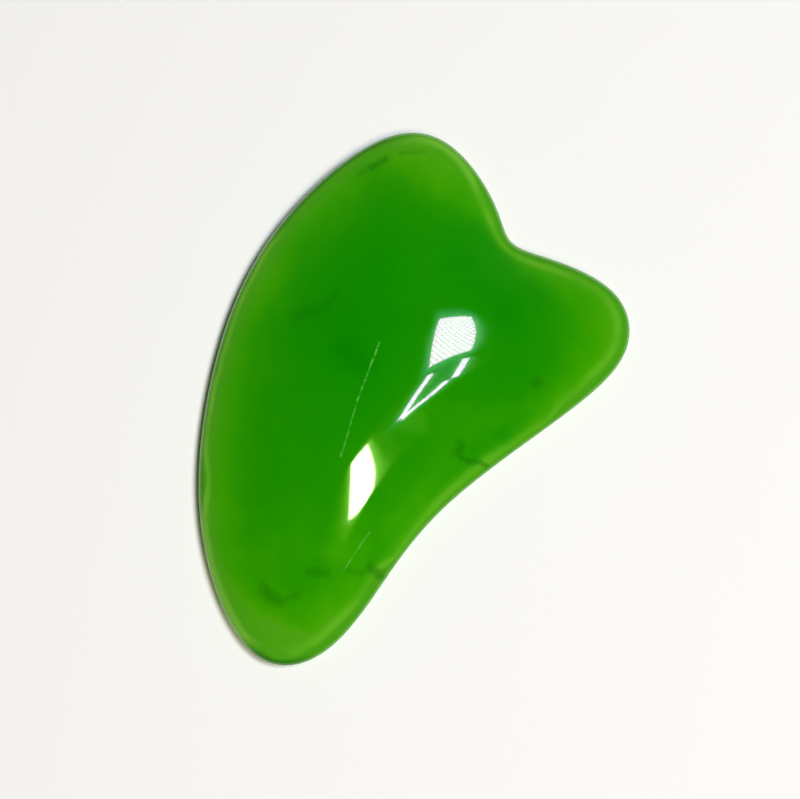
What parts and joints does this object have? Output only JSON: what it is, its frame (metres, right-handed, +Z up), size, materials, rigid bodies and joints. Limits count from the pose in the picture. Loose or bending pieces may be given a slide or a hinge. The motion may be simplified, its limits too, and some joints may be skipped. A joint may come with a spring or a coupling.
{
  "type": "gua sha scraper",
  "caption": "Palm-size gua sha board of polished green stone, with a two-lobed notched head, a convex spine, a hollow flank and a rounded tail.",
  "frame": {"origin": "on the flat back, under the middle of the board's box", "axes": "+Z up through the thickness, from the flat back to the domed face; +Y along the board, from the tail to the notched head; +X across it, from the convex spine to the side lobe and hollow flank"},
  "size_m": [0.0616, 0.09, 0.007],
  "materials": {
    "jade_stone": "polished"
  },
  "bodies": {
    "root": {"gua_sha_board": "jade_stone"}
  },
  "joints": []
}
